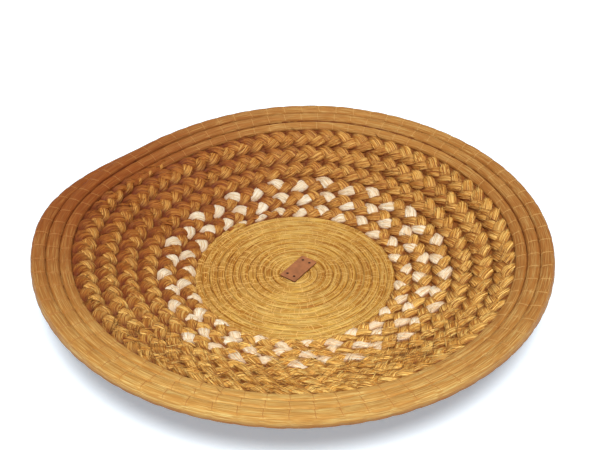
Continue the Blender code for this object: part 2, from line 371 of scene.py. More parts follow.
class Wire:
    """An output of a node. Arithmetic on it adds the Math nodes it needs."""

    def __init__(self, bench, socket):
        self.bench = bench
        self.socket = socket

    __add__, __radd__ = arithmetic("ADD"), arithmetic("ADD", swapped=True)
    __sub__, __rsub__ = arithmetic("SUBTRACT"), arithmetic("SUBTRACT", swapped=True)
    __mul__, __rmul__ = arithmetic("MULTIPLY"), arithmetic("MULTIPLY", swapped=True)
    __truediv__, __rtruediv__ = arithmetic("DIVIDE"), arithmetic("DIVIDE", swapped=True)
    __pow__, __rpow__ = arithmetic("POWER"), arithmetic("POWER", swapped=True)

    def __neg__(self):
        return self * -1

    def out(self, name):
        """Another output of the same node."""
        return Wire(self.bench, next(socket for socket in self.socket.node.outputs
                                     if socket.enabled and socket.name == name))

    def is_vector(self):
        return self.socket.type == "VECTOR"

    def kind(self):
        """The data type in which geometry nodes store what the wire carries."""
        return "FLOAT_VECTOR" if self.is_vector() else "FLOAT"


class Bench:
    """A node tree under construction, for a shader or for geometry."""

    def __init__(self, tree):
        self.tree = tree

    def add(self, kind, settings=None, inputs=None):
        """Add a node: first its settings, then the values or wires of its sockets."""
        node = self.tree.nodes.new(kind)
        for label, value in (settings or {}).items():
            setattr(node, label, value)
        for label, value in (inputs or {}).items():
            self.plug(node, label, value)
        outputs = [socket for socket in node.outputs if socket.enabled]
        return Wire(self, outputs[0]) if outputs else node

    def plug(self, node, label, value):
        """Give one socket of a node, named or numbered, a value or a wire."""
        usable = [socket for socket in node.inputs if socket.enabled]
        if isinstance(label, int):
            socket = usable[label]
        else:
            socket = next(socket for socket in usable if socket.name == label)
        if isinstance(value, Wire):
            self.tree.links.new(value.socket, socket)
        elif socket.type == "VECTOR" and not isinstance(value, (tuple, Vector)):
            socket.default_value = (value, value, value)
        elif socket.type == "RGBA" and len(value) == 3:
            socket.default_value = (*value, 1)
        else:
            socket.default_value = value

    def maths(self, operation, *parts):
        """A Math node, or a Vector Math node where one of the parts is a vector."""
        vector = any(isinstance(part, tuple) or isinstance(part, Wire) and part.is_vector()
                     for part in parts)
        kind = "ShaderNodeVectorMath" if vector else "ShaderNodeMath"
        return self.add(kind, {"operation": operation}, dict(enumerate(parts)))

    def sine(self, angle):
        return self.maths("SINE", angle)

    def cosine(self, angle):
        return self.maths("COSINE", angle)

    def unit(self, vector):
        return self.maths("NORMALIZE", vector)

    def length(self, vector):
        return self.maths("LENGTH", vector)

    def vector(self, x, y, z):
        return self.add("ShaderNodeCombineXYZ", {}, {0: x, 1: y, 2: z})

    def parts(self, vector):
        """The first part of a vector; its others are the same node's outputs."""
        return self.add("ShaderNodeSeparateXYZ", {}, {0: vector})

    def noise(self, vector, scale=1, detail=2):
        """Smooth random values about one half."""
        return self.add("ShaderNodeTexNoise", {},
                        {"Vector": vector, "Scale": scale, "Detail": detail})

    def wander(self, along, row=0, layer=0):
        """Smooth random values about nought, along a strand."""
        return self.noise(self.vector(along, row, layer), detail=1) - 0.5

    def mixed(self, share, first, second, blend_type="MIX"):
        """A colour between two colours."""
        return self.add("ShaderNodeMix", {"data_type": "RGBA", "blend_type": blend_type},
                        {"Factor": share, "A": first, "B": second})

    def spread(self, value, low, high, new_low=0, new_high=1):
        """Stretch a range of values over another, clamped at both ends."""
        return self.add("ShaderNodeMapRange", {"clamp": True},
                        {"Value": value, "From Min": low, "From Max": high,
                         "To Min": new_low, "To Max": new_high})

    def attribute(self, name, output="Fac"):
        """An attribute of the piece, read by its material."""
        return self.add("ShaderNodeAttribute", {"attribute_name": name}).out(output)

    def bump(self, height, relief):
        return self.add("ShaderNodeBump", {}, {"Height": height, "Distance": relief,
                                               "Strength": 1.0})


class GeometryBench(Bench):
    """A geometry node tree with named inputs and one geometry output."""

    directions = ("across", "up", "lean", "rise_way", "own")

    def __init__(self, name):
        tree = bpy.data.node_groups.new(name, "GeometryNodeTree")
        super().__init__(tree)
        tree.is_modifier = True
        tree.interface.new_socket("Geometry", in_out="OUTPUT", socket_type="NodeSocketGeometry")

    def ask(self, **defaults):
        self.tree.interface.new_socket("Guide", in_out="INPUT",
                                       socket_type="NodeSocketGeometry")
        for label, default in defaults.items():
            kind = {int: "Int", float: "Float"}.get(type(default), "Material")
            socket = self.tree.interface.new_socket(titled(label), in_out="INPUT",
                                                    socket_type="NodeSocket" + kind)
            if default is not None:
                socket.default_value = default
        entry = self.tree.nodes.new("NodeGroupInput")
        return [Wire(self, entry.outputs[index]) for index in range(len(defaults) + 1)]

    def pass_out(self, geometry):
        """Make a geometry the output of the tree."""
        self.plug(self.tree.nodes.new("NodeGroupOutput"), 0, geometry)
        return self.tree

    def finish(self, geometry, material):
        """Smooth and realize what the tree made, give it its material and pass it out."""
        smooth = self.add("GeometryNodeSetShadeSmooth", {}, {"Geometry": geometry})
        return self.pass_out(self.add("GeometryNodeSetMaterial", {},
                                      {"Geometry": self.real(smooth), "Material": material}))

    def real(self, geometry):
        return self.add("GeometryNodeRealizeInstances", {}, {"Geometry": geometry})

    def nested(self, name, inputs):
        """Use another tree, with values or wires for its named inputs."""
        group = self.tree.nodes.new("GeometryNodeGroup")
        group.node_tree = tree_named(name)
        for label, value in inputs.items():
            self.plug(group, label, value)
        return Wire(self, group.outputs[0])

    def squared(self, share, squareness):
        """Push a sine or cosine outwards, so that a round section gets fuller corners."""
        clear = self.maths("MAXIMUM", self.maths("ABSOLUTE", share), LEAST_SHARE)
        return share * clear ** -squareness

    def read(self, name):
        """A named attribute of the geometry."""
        kind = "FLOAT_VECTOR" if name in self.directions else "FLOAT"
        return self.add("GeometryNodeInputNamedAttribute", {"data_type": kind}, {"Name": name})

    def sample(self, geometry, value, index):
        """The value that a point of another geometry holds."""
        return self.add("GeometryNodeSampleIndex",
                        {"data_type": value.kind(), "domain": "POINT", "clamp": True},
                        {"Geometry": geometry, "Value": value, "Index": index})

    def store(self, geometry, domain="POINT", **values):
        """Store values on a geometry under their names."""
        for name, value in values.items():
            geometry = self.add("GeometryNodeStoreNamedAttribute",
                                {"data_type": value.kind(), "domain": domain},
                                {"Geometry": geometry, "Name": name, "Value": value})
        return geometry

    def place(self, geometry, position):
        return self.add("GeometryNodeSetPosition", {},
                        {"Geometry": geometry, "Position": position})

    def pressed(self, position):
        """A position lifted onto the floor, where grass would reach through it."""
        return self.maths("MAXIMUM", position, self.vector(-1, -1, REST_HEIGHT))

    def index(self):
        return self.add("GeometryNodeInputIndex")

    def position(self):
        return self.add("GeometryNodeInputPosition")

    def points_in(self, geometry):
        return self.add("GeometryNodeAttributeDomainSize", {"component": "MESH"},
                        {"Geometry": geometry})

    def random(self, low, high, seed, number=None):
        """A random value for every element, or for every number given to them."""
        inputs = {"Min": low, "Max": high, "Seed": seed}
        if number is not None:
            inputs["ID"] = number
        return self.add("FunctionNodeRandomValue", {"data_type": "FLOAT"}, inputs)


def titled(label):
    """The name of a tree's input as its panel shows it."""
    return label.replace("_", " ").title()


def build_bundle_tree():
    """Sweep a bundle of grass along a guide that stores its across and up reach."""
    bench = GeometryBench("Grass Bundle")
    guide, sides, unevenness, grain, squareness, flats, seed, material = bench.ask(
        sides=16, unevenness=0.06, grain=1.3, squareness=0.0, flats=0.0, seed=1,
        material=None)
    tube = bench.add("GeometryNodeMeshCylinder", {"fill_type": "NGON"},
                     {"Vertices": sides, "Side Segments": bench.points_in(guide) - 1,
                      "Radius": 1, "Depth": 1})
    number = bench.index()
    ring = bench.maths("FLOOR", number / sides)
    angle = (number - ring * sides) * (math.tau / sides)
    middle = bench.sample(guide, bench.position(), ring)
    across, up, run, tuck, column = [bench.sample(guide, bench.read(name), ring)
                                     for name in ("across", "up", "run", "tuck", "column")]
    side_share = bench.squared(bench.cosine(angle), squareness)
    up_share = bench.squared(bench.sine(angle), squareness)
    lumps = bench.noise(bench.vector(run * SWELL_PITCH + seed * SWELL_STRIDE,
                                     side_share * grain, up_share * grain))
    swell = (1 + (lumps - 0.5) * unevenness * 2
             - flats * bench.spread(up_share, FLATS_FROM, -1))
    reach = across * (side_share * swell) + up * (up_share * swell)
    shaped = bench.place(tube, bench.pressed(middle + reach))
    fibre = bench.vector(run + seed * FIBRE_STRIDE, side_share * bench.length(across),
                         up_share * bench.length(up))
    shaped = bench.store(shaped, grass_run=fibre, tuck=tuck, column=column,
                         underside=up_share)
    return bench.finish(shaped, material)


PATH_INPUTS = {"strand": 0.0, "sway": 0.55, "steepness": 0.25, "lag": 0.35, "plunge": 0.35,
               "lift": 0.45, "strand_width": 0.5, "strand_thickness": 0.5, "fullness": 0.2}


def build_path_tree():
    """Lead one strand of the plait from side to side, over and under the others."""
    bench = GeometryBench("Plait Path")
    (guide, strand, sway, steepness, lag, plunge, lift, width, thickness,
     fullness) = bench.ask(**PATH_INPUTS)
    across, up, run, bias = [bench.read(name) for name in ("across", "up", "run", "bias")]
    hurry = bench.wander(run * HURRY_PITCH)
    phase = bench.read("cycle") + strand * (math.tau / STRANDS) + hurry
    swing = phase * 2 - lag
    rise = -bench.sine(swing + bench.sine(swing) * plunge)
    stray = bench.wander(run * STRAY_PITCH, strand * STRAY_STRIDE)
    turned = bench.cosine(phase * 2)
    swung = bench.sine(phase + turned * (steepness * bench.read("steep_share")))
    aside = swung - (turned + 1) * bias + stray * STRAY_REACH
    raised = rise * lift * (1 + swung * rise * bias * KNOT_LIFT)
    led = bench.store(guide, lean=across, rise_way=up, tuck=rise, column=aside,
                      full=-bench.sine(swing - FULLEST_AT))
    led = bench.place(led, bench.position() + across * (aside * sway) + up * raised)
    number = bench.index()
    along = bench.unit(bench.sample(led, bench.position(), number + 1)
                       - bench.sample(led, bench.position(), number - 1))
    rise_way = bench.read("rise_way")
    side = bench.unit(bench.maths("CROSS_PRODUCT", rise_way, along))
    face = bench.unit(bench.maths("CROSS_PRODUCT", along, side))
    fatness = 1 + bench.wander(run * FATNESS_PITCH, strand * FATNESS_STRIDE, 3)
    breadth = (bench.length(bench.read("lean")) * width * fatness
               * (1 - fullness * 0.5 + bench.read("full") * fullness))
    return bench.pass_out(bench.store(led, across=side * breadth,
                                      up=face * (bench.length(rise_way) * thickness)))


def path_values(wires):
    """The inputs of the path tree, each with the wire that feeds it."""
    return {titled(label): wire for label, wire in zip(PATH_INPUTS, wires)}


def build_strand_tree():
    """Sweep a bundle of grass along the path of one strand."""
    bench = GeometryBench("Plait Strand")
    guide, *path, sides, unevenness, grain, seed, material = bench.ask(
        **PATH_INPUTS, sides=20, unevenness=0.1, grain=3.0, seed=1, material=None)
    led = bench.nested("Plait Path", {"Guide": guide, **path_values(path)})
    bundle = bench.nested("Grass Bundle", {
        "Guide": led, "Sides": sides, "Unevenness": unevenness, "Grain": grain,
        "Squareness": STRAND_SQUARENESS, "Seed": seed, "Material": material})
    return bench.finish(bundle, material)


def build_blade_tree():
    """Lay single blades of grass along a strand, with loose and tapered ends."""
    bench = GeometryBench("Grass Blades")
    (guide, *path, blades, reach, thickness, flare, stiffness, frayed_side, seed,
     material) = bench.ask(
        **PATH_INPUTS, blades=1000, reach=3.4, blade_thickness=0.00045, flare=0.1,
        stiffness=0.5, frayed_side=0.12, seed=1, material=None)
    led = bench.nested("Plait Path", {"Guide": guide, **path_values(path)})
    blade = bench.add("GeometryNodeMeshCylinder", {"fill_type": "NGON"},
                      {"Vertices": 3, "Side Segments": 3, "Radius": 1, "Depth": 2})
    blade = bench.store(blade, own=bench.position())
    spots = bench.add("GeometryNodePoints", {}, {"Count": blades})
    laid = bench.add("GeometryNodeInstanceOnPoints", {}, {"Points": spots, "Instance": blade})
    laid = bench.real(bench.store(laid, "INSTANCE", blade=bench.index()))
    number = bench.read("blade")
    own = bench.parts(bench.read("own"))
    lengthwise = own.out("Z")

    def drawn(limits, stride):
        """A random value for each blade."""
        return bench.random(*limits, seed + stride, number)

    def along_strand(value, spot):
        """A value of the strand between two of its points."""
        before = bench.maths("FLOOR", spot)
        low, high = bench.sample(led, value, before), bench.sample(led, value, before + 1)
        return low + (high - low) * (spot - before)

    def frame_at(spot):
        """Middle, across and up reach of the strand."""
        return [along_strand(value, spot)
                for value in (bench.position(), bench.read("across"), bench.read("up"))]

    first = bench.random(0, 1, seed, number) * (bench.points_in(led) - 1)
    loose = drawn((0, 1), 4)
    loosest = loose * loose
    root, root_across, root_up = frame_at(first)
    root_parts = bench.parts(root)
    fraying = (bench.spread(root_parts.out("Y"), NEAR_FRAYING_DEPTH - frayed_side,
                            -frayed_side, 1, NEAR_FRAYING)
               + bench.spread(root_parts, *RIGHT_FRAYING_LIMITS, 0, RIGHT_FRAYING))
    reached = (lengthwise * reach * drawn(BLADE_LENGTHS, 1)
               * (1 + loose * fraying * FRAYED_REACH))
    spot = first + reached
    middle, across, up = frame_at(spot)
    onward = (along_strand(bench.position(), first + 1)
              - along_strand(bench.position(), first - 1)) * 0.5
    run, tuck, column = [along_strand(bench.read(name), spot)
                         for name in ("run", "tuck", "column")]
    over = bench.maths("SIGN", along_strand(bench.read("tuck"), first))
    angle = (drawn((BLADE_TWIST, math.pi - BLADE_TWIST), 2)
             + lengthwise * drawn((-BLADE_TWIST, BLADE_TWIST), 3))
    side_share = bench.squared(bench.cosine(angle), STRAND_SQUARENESS)
    up_share = bench.squared(bench.sine(angle), STRAND_SQUARENESS) * over
    lifted = 1 + loosest * flare * fraying * lengthwise * lengthwise
    lying = middle + (across * side_share + up * up_share) * lifted
    straight = root + onward * reached + root_across * side_share + root_up * up_share
    centre = lying + (straight - lying) * bench.spread(loosest * stiffness * fraying, 0, 1)
    sideways = bench.unit(across * up_share - up * side_share)
    outwards = bench.unit(across * (side_share * BLADE_LEAN) + up * up_share)
    taper = thickness * (1 - (lengthwise * lengthwise) ** 2 * BLADE_TAPER)
    taper = taper * drawn(BLADE_WIDTHS, 5)
    shaped = bench.place(laid, bench.pressed(
        centre + sideways * (own * taper)
        + outwards * (own.out("Y") * taper * BLADE_FLATNESS)))
    shaped = bench.store(shaped, grass_run=bench.vector(run, number * BLADE_STRIDE, 0),
                         tuck=tuck * over, column=column, underside=up_share)
    return bench.finish(shaped, material)


def build_stitch_tree():
    """Repeat one slanted stitch of thread over the top of a coil."""
    bench = GeometryBench("Coil Stitches")
    (guide, first, last, slant, squareness, thread, sides, looseness, seed,
     material) = bench.ask(
        first_angle=math.radians(20), last_angle=math.radians(160), slant=0.3,
        squareness=0.0, thread=0.05, sides=5, looseness=0.2, seed=1, material=None)
    arc = bench.add("GeometryNodeCurveArc", {"mode": "RADIUS"},
                    {"Resolution": 9, "Radius": 1, "Start Angle": first,
                     "Sweep Angle": last - first})
    parts = bench.parts(bench.position())
    share = bench.add("GeometryNodeSplineParameter")
    stood = bench.place(arc, bench.vector((share - 0.5) * slant,
                                          bench.squared(parts, squareness),
                                          bench.squared(parts.out("Y"), squareness)))
    profile = bench.add("GeometryNodeCurvePrimitiveCircle", {"mode": "RADIUS"},
                        {"Resolution": sides, "Radius": thread})
    stitch = bench.add("GeometryNodeCurveToMesh", {},
                       {"Curve": stood, "Profile Curve": profile, "Fill Caps": True})
    across, up = bench.read("across"), bench.read("up")
    turned = bench.add("FunctionNodeAxesToRotation",
                       {"primary_axis": "Z", "secondary_axis": "Y"},
                       {"Primary Axis": up, "Secondary Axis": across})
    wander = bench.add("FunctionNodeAxisAngleToRotation", {},
                       {"Axis": (0, 0, 1), "Angle": bench.random(-looseness, looseness, seed)})
    strayed = bench.add("FunctionNodeRotateRotation", {"rotation_space": "LOCAL"},
                        {"Rotation": turned, "Rotate By": wander})
    size = bench.length(up)
    scattered = bench.add("GeometryNodeInstanceOnPoints", {},
                          {"Points": guide, "Instance": stitch, "Rotation": strayed,
                           "Scale": bench.vector(size, bench.length(across), size)})
    return bench.finish(scattered, material)


TREES = {"Grass Bundle": build_bundle_tree, "Plait Path": build_path_tree,
         "Plait Strand": build_strand_tree, "Grass Blades": build_blade_tree,
         "Coil Stitches": build_stitch_tree}


def tree_named(name):
    """One of the geometry trees, built when it is first asked for."""
    if name not in bpy.data.node_groups:
        TREES[name]()
    return bpy.data.node_groups[name]


def make_piece(name, guide, tree, slot, *nodes, **values):
    """Run a geometry tree over a guide and hand the result over as a plain mesh."""
    tree = tree_named(tree)
    item = bpy.data.objects.new(name, guide)
    bpy.context.scene.collection.objects.link(item)
    modifier = item.modifiers.new(tree.name, "NODES")
    modifier.node_group = tree
    titles = {titled(label): value for label, value in values.items()}
    for socket in tree.interface.items_tree:
        if socket.item_type == "SOCKET" and socket.in_out == "INPUT" and socket.name in titles:
            modifier[socket.identifier] = titles.pop(socket.name)
    if titles:
        raise ValueError(f"the tree {tree.name} has no inputs named {sorted(titles)}")
    depsgraph = bpy.context.evaluated_depsgraph_get()
    mesh = bpy.data.meshes.new_from_object(item.evaluated_get(depsgraph),
                                           preserve_all_data_layers=True, depsgraph=depsgraph)
    item.modifiers.clear()
    item.data = mesh
    mesh.name = name
    bpy.data.meshes.remove(guide)
    hand_over(item, slot, *nodes)


def hand_over(item, slot, *nodes):
    """Let a finished piece ride with the basket and stand for its solids."""
    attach(item, "root")
    if nodes:
        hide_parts(*nodes)
    print(item.name, "triangles:", sum(len(face.vertices) - 2 for face in item.data.polygons))


def tinted(colour, tint):
    """A colour with each of its channels scaled."""
    return tuple(channel * share for channel, share in zip(colour, tint))


def new_finish(name):
    """A material with an empty Principled shader on a bench of its own."""
    material = bpy.data.materials.new(name)
    material.use_nodes = True
    bench = Bench(material.node_tree)
    return material, bench, material.node_tree.nodes["Principled BSDF"]


def around(bench, place):
    """Where a spot lies around the basket: its X is to the right, its Y away."""
    return bench.parts(bench.unit(place * (1, 1, 0)))


def grass_finish(name, dark, body, light, painted_light, lighting_tints=GRASS_LIGHT_AND_SHADE_TINTS, contrast=0.1,
                 shade=1.0, flank_shade=0.85, flank_shade_from=0.7, shade_underside_near=False, knot_shade=0.0):
    """Dry grass streaked along the bundle, with painted light, and painted shade where it dives
    under.
    """
    material, bench, shader = new_finish(name)
    run = bench.attribute("grass_run", "Vector")
    broad = bench.noise(run * (STREAK_PITCH, FIBRES_PER_METRE, FIBRES_PER_METRE))
    fineness = HAIRS_PER_STREAK * FIBRES_PER_METRE
    hairs = bench.noise(run * (HAIR_PITCH, fineness, fineness), detail=1)
    patches = bench.noise(run * PATCH_PITCHES)
    streaks = bench.spread(broad * STREAK_SHARE + hairs * (1 - STREAK_SHARE),
                           0.5 - contrast, 0.5 + contrast)
    colour = bench.mixed(bench.spread(streaks, *DARK_STREAKS), dark, body)
    colour = bench.mixed(bench.spread(streaks, *BRIGHT_STREAKS), colour, light)
    colour = bench.mixed(bench.spread(patches, *DARK_PATCHES, 0, PATCH_DEPTH), colour, dark)

    # Painted light and shade by where a spot lies around the basket: a painted sheen at both ends
    # in depth, lighter to the right and at the near side, and painted shade on the plait's outer
    # lumps on the left
    level, ends, aside, near, near_right, outer = painted_light
    right = around(bench, bench.add("ShaderNodeTexCoord").out("Object"))
    away = right.out("Y")
    column = bench.attribute("column")
    painted_lightness = (away * away * ends + right * aside - away * near - right * away * near_right
             + level + column * (right - OUTER_FROM) * outer)
    light_tint = bench.mixed(bench.spread(painted_lightness, 0, 1), *lighting_tints)
    colour = bench.mixed(1, colour, light_tint, "MULTIPLY")

    # Painted shade: on the flanks, or only on the underside at the near side, on the outer knots
    # on the left, and where a strand dives under the others
    facing = bench.attribute("underside")
    if shade_underside_near:
        shaded_flank = (bench.spread(facing, flank_shade_from, NEAR_UNDERSIDE_SHADE_TO, 0, flank_shade)
                 * bench.spread(away, *NEAR_SIDE))
    else:
        shaded_flank = bench.spread(bench.maths("ABSOLUTE", facing), flank_shade_from, FLANK_SHADE_TO,
                             0, flank_shade)
    tucked = bench.attribute("tuck") + (right - away) * TUCK_SLANT
    for depth in (bench.spread(column * right, *KNOTS_ON_LEFT, 0, knot_shade), shaded_flank,
                  bench.spread(tucked, *TUCKED, 0, shade)):
        colour = bench.mixed(depth, colour, tinted(dark, PAINTED_SHADE_TINT))
    bench.plug(shader, "Base Color", colour)
    bench.plug(shader, "Roughness", GRASS_ROUGHNESS + streaks * STREAK_ROUGHNESS)
    shader.inputs["Specular IOR Level"].default_value = GRASS_SHINE
    bench.plug(shader, "Normal",
               bench.bump(broad * STREAK_SHARE + hairs * HAIR_RELIEF, GRASS_RELIEF))
    return material


def thread_finish(name, colour, near_shade_tint=(1, 1, 1), left_shade_tint=(1, 1, 1)):
    """Sewing thread, a little uneven, with painted shade at the near side and on the left."""
    material, bench, shader = new_finish(name)
    place = bench.add("ShaderNodeTexCoord").out("Object")
    wear = bench.noise(place, WEAR_PER_METRE)
    right = around(bench, place)
    tone = bench.mixed(wear, tinted(colour, [WORN_SHARE] * 3), colour)
    # Painted shade on the left, and at the near side for the shadows of the stitches
    tone = bench.mixed(bench.spread(right, *THREAD_SHADE_LEFT), tone, tinted(colour, left_shade_tint))
    tone = bench.mixed(bench.spread(right.out("Y"), *THREAD_SHADE_NEAR), tone,
                       tinted(colour, near_shade_tint))
    smooth, worn = THREAD_ROUGHNESS
    bench.plug(shader, "Base Color", tone)
    bench.plug(shader, "Roughness", smooth + wear * worn)
    return material


def a_number(name, default, low, high, description, subtype="NONE", unit="NONE"):
    """A number that a user may change."""
    return bpy.props.FloatProperty(name=name, default=default, min=low, max=high,
                                   description=description, subtype=subtype, unit=unit)


def a_share(*settings):
    """A share of something else."""
    return a_number(*settings, subtype="FACTOR")


def a_length(*settings):
    """A length in metres."""
    return a_number(*settings, subtype="DISTANCE", unit="LENGTH")


def an_angle(name, degrees, low, high, description):
    """An angle, given in degrees with its limits and kept in radians."""
    return a_number(name, *(math.radians(value) for value in (degrees, low, high)),
                    description, subtype="ANGLE", unit="ROTATION")


def a_count(name, default, low, high, description):
    return bpy.props.IntProperty(name=name, default=default, min=low, max=high,
                                 description=description)


def a_colour(name, default, description):
    return bpy.props.FloatVectorProperty(name=name, default=default, size=3, min=0, max=1,
                                         subtype="COLOR", description=description)


class BasketWeave(bpy.types.PropertyGroup):
    """How the grass and its sewing are laid, within the form of the solids."""

    lumps_at_start: a_number(
        "Lumps in First Turn", 43, 20, 80,
        "Lumps in one column of the plait per turn, where the plait starts")
    lumps_growth: a_number(
        "Lumps Growth", 2.4, 0, 10, "Further lumps that each later turn has")
    lumps_rise: a_number(
        "Lumps Rise", 0.5, 0, 2, "How much faster the lumps grow in number towards the rim")
    sway: a_share(
        "Plait Sway", 0.68, 0.3, 0.8,
        "Reach of a strand to either side, as a share of half the plait's width")
    steepness: a_share(
        "Plait Steepness", 0.2, 0, 0.4,
        "How much more steeply a strand runs on top than underneath")
    lag: a_number(
        "Plait Lag", 0.18, -1, 1, "How late a strand stands highest before it dives under")
    plunge: a_share(
        "Plait Plunge", 0.35, 0, 0.7, "How much faster a strand dives than it rises")
    plait_bias: a_share(
        "Plait Bias", 0.03, 0, 0.25,
        "How much more the outer lumps lie across the row than the inner ones")
    bias_on_left: a_number(
        "Bias on Left", 2.0, 0, 12,
        "How many times the bias is added on the left of the basket")
    lift: a_share(
        "Plait Lift", 0.5, 0.2, 0.8,
        "Rise of a strand over the others, as a share of half the height")
    strand_width: a_share(
        "Strand Width", 0.61, 0.2, 0.8,
        "Half width of a strand, as a share of half the plait's width")
    strand_thickness: a_share(
        "Strand Thickness", 0.62, 0.2, 0.8,
        "Half thickness of a strand, as a share of half the plait's height")
    fullness: a_share(
        "Strand Fullness", 0.22, 0, 0.4,
        "How much wider a strand is just before it dives under")
    strand_points: a_count(
        "Strand Points", 460, 120, 700,
        "Cross-sections of a strand in one turn of the winding")
    strand_sides: a_count(
        "Strand Sides", 24, 8, 32, "Points around one strand of the plait")
    blades_per_turn: a_count(
        "Blades per Turn", 1200, 0, 1500,
        "Single blades of grass on one strand in one turn of the winding")
    blade_thickness: a_length(
        "Blade Thickness", 0.0004, 0.0002, 0.001, "Half the width of a single blade of grass")
    blade_flare: a_number(
        "Blade Flare", 0.22, 0, 1, "How far the ends of a blade stand off the strand")
    blade_stiffness: a_number(
        "Blade Stiffness", 0.75, 0, 1, "How straight the loosest blades stand off the strand")
    rim_stitches: a_count(
        "Rim Stitches", 74, 20, 160, "Stitches over the rim coil in one turn")
    base_stitch_spacing: a_length(
        "Base Stitch Spacing", 0.0072, 0.003, 0.03,
        "Distance between the stitches along the base coil")


class BasketColours(bpy.types.PropertyGroup):
    """Colours of the grass, the thread and the leather."""

    plait_dark: a_colour(
        "Plait Dark", (0.30, 0.083, 0.012), "Deep streaks of the golden strands")
    plait_body: a_colour(
        "Plait Body", (0.66, 0.282, 0.040), "Main colour of the golden strands")
    plait_light: a_colour(
        "Plait Light", (0.98, 0.61, 0.165), "Bright fibres of the golden strands")
    # The filling's dark colour is painted shade between the strands
    filling_shade: a_colour(
        "Filling Dark", (0.30, 0.10, 0.018), "Grass deep between the strands of the plait")
    cream_dark: a_colour(
        "Cream Dark", (0.72, 0.45, 0.20), "Deep streaks of the cream strand")
    cream_body: a_colour(
        "Cream Body", (0.88, 0.70, 0.46), "Main colour of the cream strand")
    cream_light: a_colour(
        "Cream Light", (0.96, 0.86, 0.66), "Bright fibres of the cream strand")
    base_dark: a_colour(
        "Base Dark", (0.48, 0.19, 0.02), "Deep streaks of the base coil")
    base_body: a_colour(
        "Base Body", (0.80, 0.45, 0.062), "Main colour of the base coil")
    base_light: a_colour(
        "Base Light", (0.93, 0.66, 0.19), "Bright fibres of the base coil")
    rim_dark: a_colour(
        "Rim Dark", (0.44, 0.150, 0.020), "Deep streaks of the rim coil")
    rim_body: a_colour(
        "Rim Body", (0.54, 0.207, 0.031), "Main colour of the rim coil")
    rim_light: a_colour(
        "Rim Light", (0.73, 0.42, 0.105), "Bright fibres of the rim coil")
    rim_thread: a_colour(
        "Rim Thread", (0.74, 0.42, 0.125), "Thread that sews the rim coil")
    base_thread: a_colour(
        "Base Thread", (0.90, 0.57, 0.17), "Thread that sews the base coil")
    leather: a_colour("Leather", (0.43, 0.155, 0.052), "Leather of the tag")
    # The tag's dark edges are partly burnt leather and partly a painted shadow; around the sewing
    # holes the dark is painted shade
    leather_edges: a_colour(
        "Leather Edges", (0.10, 0.038, 0.018),
        "Leather burnt dark at the tag's edges and around its sewing holes")

    def tones(self, grass):
        """The dark, main and bright colours of one sort of grass."""
        return [tuple(getattr(self, f"{grass}_{tone}")) for tone in ("dark", "body", "light")]


class BasketStudio(bpy.types.PropertyGroup):
    """Floor, light and camera."""

    floor_colour: a_colour("Floor Colour", (0.85, 0.93, 0.99), "Colour of the floor")
    floor_size: a_length("Floor Size", 14, 2, 100, "Length of one side of the floor")
    floor_glow: a_number(
        "Floor Glow", 0.34, 0, 1, "White added to the floor as the camera and reflections see it")
    glow_colour: a_colour(
        "Glow Colour", (0.75, 0.87, 1.0),
        "Colour of the floor's glow, against the basket's own warmth")
    daylight: a_number(
        "Daylight", 0.32, 0, 2, "Strength of the even light from all around")
    key_strength: a_number("Key Strength", 2.9, 0, 10, "Strength of the main lamp")
    key_softness: an_angle(
        "Key Softness", 24, 0, 180, "How wide the main lamp looks from the basket")
    key_height: an_angle("Key Height", 67, 0, 90, "Height of the main lamp")
    key_side: an_angle(
        "Key Side", -86, -180, 180,
        "Direction of the main lamp in plan, anticlockwise from +X")
    camera_distance: a_length(
        "Camera Distance", 0.961, 0.3, 10,
        "Distance from the camera to the point it looks at")
    camera_elevation: an_angle(
        "Camera Elevation", 36.49, 0, 90, "Height of the camera's line of sight")
    camera_lens: a_number(
        "Camera Lens", 64.25, 20, 200, "Focal length in millimetres on a 36 mm wide sensor")
    look_aside: a_length(
        "Look Aside", 0.00295, -1, 1,
        "How far to the right of the base's middle the camera looks")
    look_beyond: a_length(
        "Look Beyond", 0.07476, -1, 1,
        "How far beyond the base's middle the camera looks")


class MakeBaseCoil(bpy.types.Operator):
    """Coil the thin sewn bundle of the flat base"""

    bl_idname = "basket.make_base_coil"
    bl_label = "Base Coil"

    def execute(self, context):
        colours = context.scene.basket_colours
        count = round(BASE_TURNS * BASE_SECTIONS_PER_TURN)
        turns = np.linspace(-BASE_TURNS, BASE_OVERLAP, count)
        tail = blend(BASE_TAIL_SHARE, 1, eased((turns + BASE_TURNS) / BASE_TAIL))[:, None]
        swell = 1 + SEAM_GAP / BASE_CORD
        # The base grass takes a painted sheen and painted shade around the basket, and painted
        # shade on its flanks
        finish = grass_finish("base grass", *colours.tones("base"), BASE_PAINTED_LIGHT,
                              contrast=0.07, flank_shade=0.25, flank_shade_from=0.4)
        make_piece("base_coil_grass", bundle_guide("base guide", turns, tail * swell, tail),
                   "Grass Bundle", "base_grass", "base_coil", sides=20, unevenness=0.04,
                   grain=2.5, squareness=0.55, flats=BASE_FLAT_SHARE * 2.5, seed=3,
                   material=finish)
        return {"FINISHED"}


def plait_cycle(turns, weave):
    """Phase of the plait at some turns: each strand comes round once in three lumps."""
    lumps = (weave.lumps_at_start * turns + weave.lumps_growth * turns ** 2 / 2
             + weave.lumps_rise * turns ** 3 / 3)
    return lumps / STRANDS * math.tau


def plait_bias(turns, weave):
    """How much the plait favours its outer lumps: more so on the left of the basket."""
    leftward = np.clip(-np.cos(START_ANGLE - math.tau * turns), 0, 1)
    return weave.plait_bias * (1 + leftward * weave.bias_on_left)


def steep_share(turns):
    """How much of the steepness the strands keep: none on the right of the basket."""
    rightward = np.cos(START_ANGLE - math.tau * turns)
    return 1 - np.clip(rightward * STRAIGHTER_ON_RIGHT, 0, 1)


